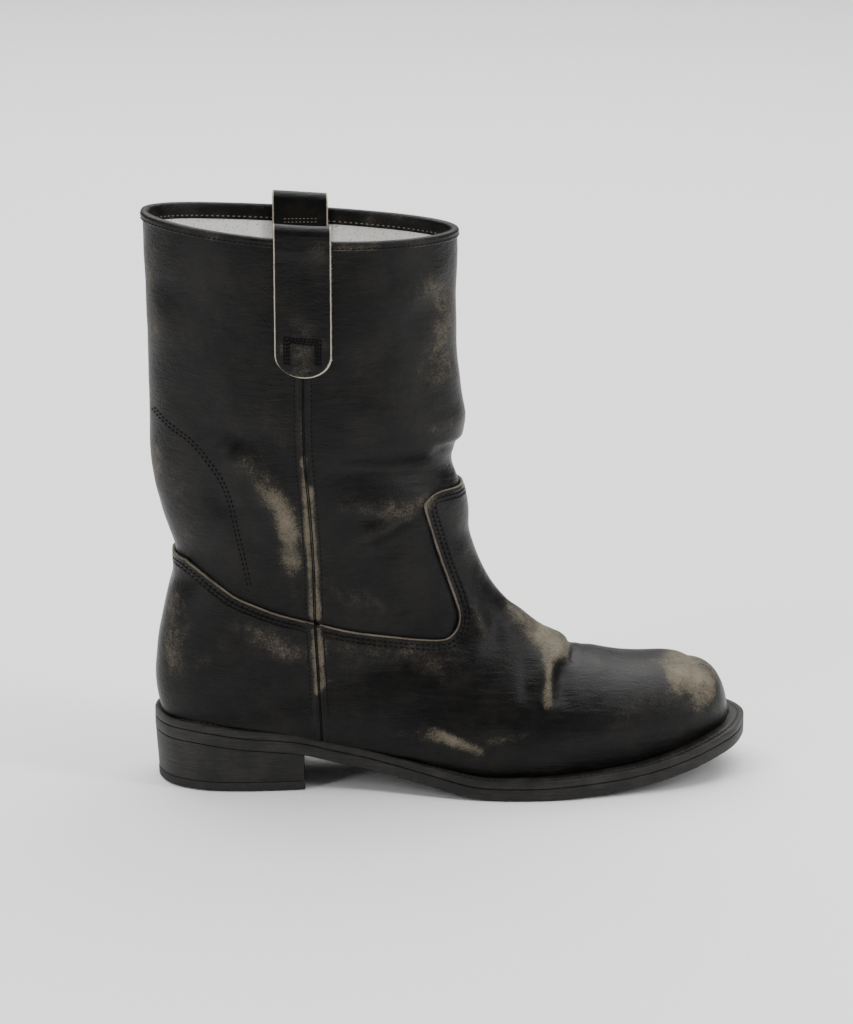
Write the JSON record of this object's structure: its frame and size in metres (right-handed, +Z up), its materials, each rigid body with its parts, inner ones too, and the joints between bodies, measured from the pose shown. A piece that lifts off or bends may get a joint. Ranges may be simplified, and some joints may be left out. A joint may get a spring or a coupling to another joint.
{
  "type": "western work boot",
  "caption": "Pull-on western work boot with a tall leather shaft, pull straps, stitched welt and stacked heel, one right boot standing empty.",
  "frame": {"origin": "centre of the heel's flat tread face, on the floor", "axes": "+X towards the toe, +Z up, -Y the lateral side and +Y the medial side of this right boot"},
  "size_m": [0.3006, 0.1088, 0.288],
  "materials": {
    "upper_leather": "worn black grain leather",
    "worn_leather": "black grain leather rubbed pale on its high places",
    "strap_leather": "black leather with raw edges",
    "insole_leather": "smooth, dull",
    "sole_edge": "black dressed edge, satin",
    "heel_rubber": "matte"
  },
  "bodies": {
    "root": {"upper": "upper_leather", "vamp": "worn_leather", "counter": "worn_leather", "collar_binding": "upper_leather", "pull_strap_lateral": "strap_leather", "pull_strap_medial": "strap_leather", "side_seam_lateral": "worn_leather", "side_seam_medial": "worn_leather", "insole": "insole_leather", "welt": "sole_edge", "outsole": "sole_edge", "heel": "sole_edge", "heel_lift": "heel_rubber"}
  },
  "joints": []
}
